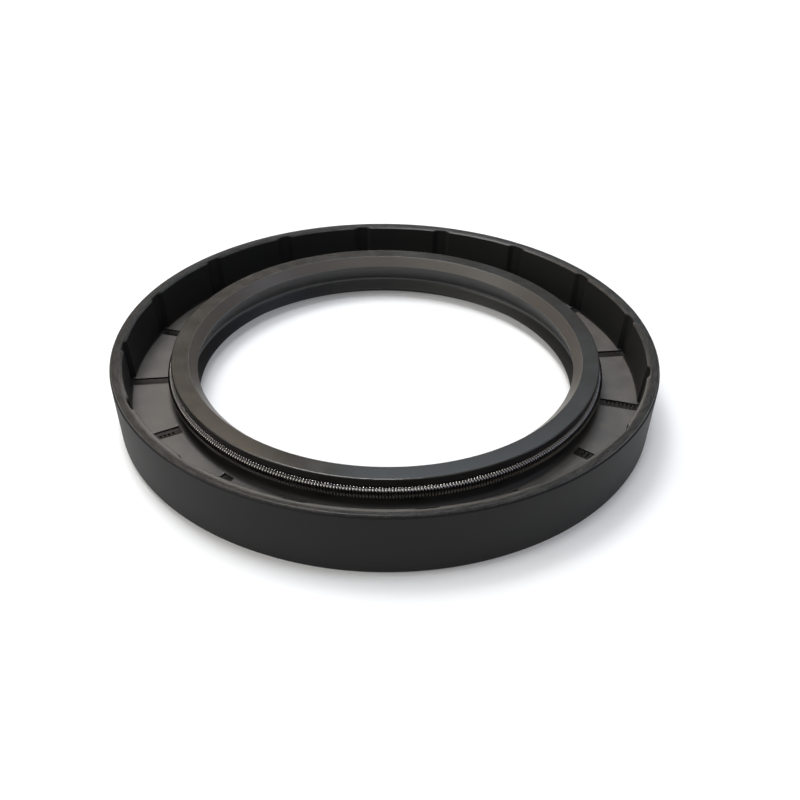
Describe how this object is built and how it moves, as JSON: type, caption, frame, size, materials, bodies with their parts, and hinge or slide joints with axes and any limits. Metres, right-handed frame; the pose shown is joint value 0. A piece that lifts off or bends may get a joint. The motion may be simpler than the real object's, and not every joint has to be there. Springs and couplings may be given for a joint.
{
  "type": "radial shaft seal",
  "caption": "Rubber-covered radial shaft seal with a spring-loaded sealing lip, a dust lip and a steel case moulded inside.",
  "frame": {"origin": "centre of the air-side face, at its lowest plane", "axes": "+Z along the shaft axis towards the spring side, which faces the oil; +X through one of the moulding marks"},
  "size_m": [0.1002, 0.1002, 0.012],
  "materials": {
    "rubber": "satin moulded nitrile rubber",
    "case_steel": "plain pressed steel",
    "spring_steel": "oiled carbon steel spring wire"
  },
  "bodies": {
    "root": {"seal_body": "rubber", "metal_case": "case_steel", "garter_spring": "spring_steel"}
  },
  "joints": []
}
